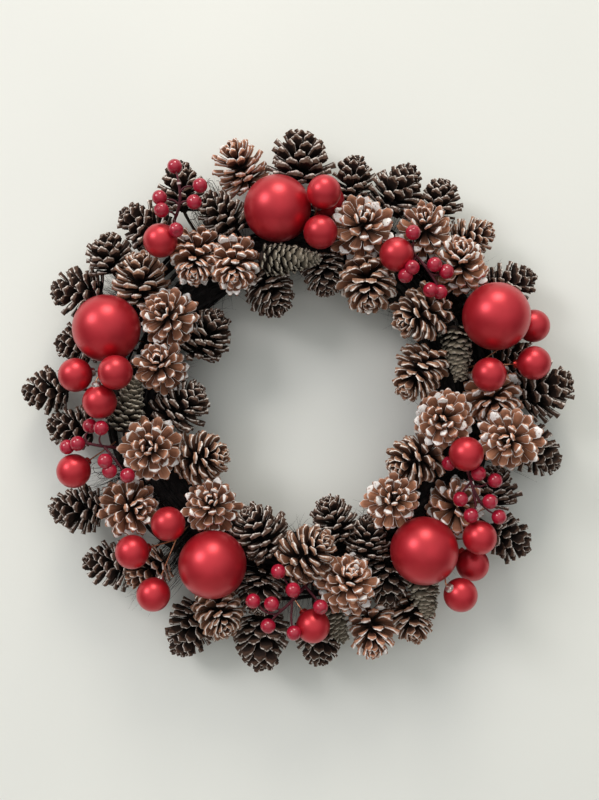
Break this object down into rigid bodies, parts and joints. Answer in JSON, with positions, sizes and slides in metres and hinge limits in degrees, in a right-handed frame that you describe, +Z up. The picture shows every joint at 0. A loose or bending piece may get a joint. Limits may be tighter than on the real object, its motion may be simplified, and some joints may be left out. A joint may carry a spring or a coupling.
{
  "type": "pine cone wreath",
  "caption": "Round wall wreath of open pine cones wired to a dark twig ring, with red baubles in groups and sprays of red berries.",
  "frame": {"origin": "the nail's place at the wall, under the top of the wire hanging loop behind the wreath; the ring's centre is 175 mm below it", "axes": "+Z up as the wreath hangs, +Y into the wall (the ring's flat back lies in the plane y = 0), -Y out to the viewer, +X to the viewer's right"},
  "size_m": [0.5041, 0.106, 0.4903],
  "materials": {
    "dark_twig": "matte dark bound twigs",
    "copper_wire": "bare copper-coloured wire",
    "bauble_red": "satin red",
    "berry_red": "glossy crimson",
    "cone_frosted": "light brown scales with white painted rims",
    "cone_brown": "brown scales with pale rims",
    "cone_dark": "dark scales with thin pale rims",
    "cone_grey": "grey, half-closed scales with pale edges"
  },
  "bodies": {
    "root": {"bauble_trio_1": "bauble_red", "bauble_trio_2": "bauble_red", "bauble_trio_3": "bauble_red", "bauble_trio_4": "bauble_red", "bauble_trio_5": "bauble_red", "berry_spray_1": "berry_red", "berry_spray_2": "berry_red", "berry_spray_3": "berry_red", "berry_spray_4": "berry_red", "berry_spray_5": "berry_red", "big_bauble_1": "bauble_red", "big_bauble_2": "bauble_red", "big_bauble_3": "bauble_red", "big_bauble_4": "bauble_red", "big_bauble_5": "bauble_red", "hanging_loop": "copper_wire", "pine_cone_02": "cone_dark", "pine_cone_04": "cone_frosted", "pine_cone_06": "cone_frosted", "pine_cone_08": "cone_grey", "pine_cone_10": "cone_brown", "pine_cone_11": "cone_frosted", "pine_cone_12": "cone_dark", "pine_cone_13": "cone_brown", "pine_cone_14": "cone_grey", "pine_cone_18": "cone_dark", "pine_cone_21": "cone_dark", "pine_cone_23": "cone_frosted", "pine_cone_25": "cone_brown", "pine_cone_27": "cone_dark", "pine_cone_28": "cone_frosted", "pine_cone_29": "cone_brown", "pine_cone_30": "cone_dark", "pine_cone_32": "cone_frosted", "pine_cone_33": "cone_grey", "pine_cone_34": "cone_frosted", "pine_cones_01": "cone_dark", "pine_cones_03": "cone_dark", "pine_cones_05": "cone_dark", "pine_cones_07": "cone_frosted", "pine_cones_09": "cone_dark", "pine_cones_15": "cone_frosted", "pine_cones_16": "cone_frosted", "pine_cones_17": "cone_dark", "pine_cones_19": "cone_brown", "pine_cones_20": "cone_frosted", "pine_cones_22": "cone_brown", "pine_cones_24": "cone_frosted", "pine_cones_26": "cone_dark", "pine_cones_31": "cone_frosted", "pine_cones_35": "cone_frosted", "pine_cones_36": "cone_dark", "pine_cones_37": "cone_dark", "pine_cones_38": "cone_dark", "pine_cones_39": "cone_dark", "pine_cones_40": "cone_dark", "pine_cones_41": "cone_dark", "pine_cones_42": "cone_dark", "pine_cones_43": "cone_dark", "twig_ring": "dark_twig"}
  },
  "joints": []
}
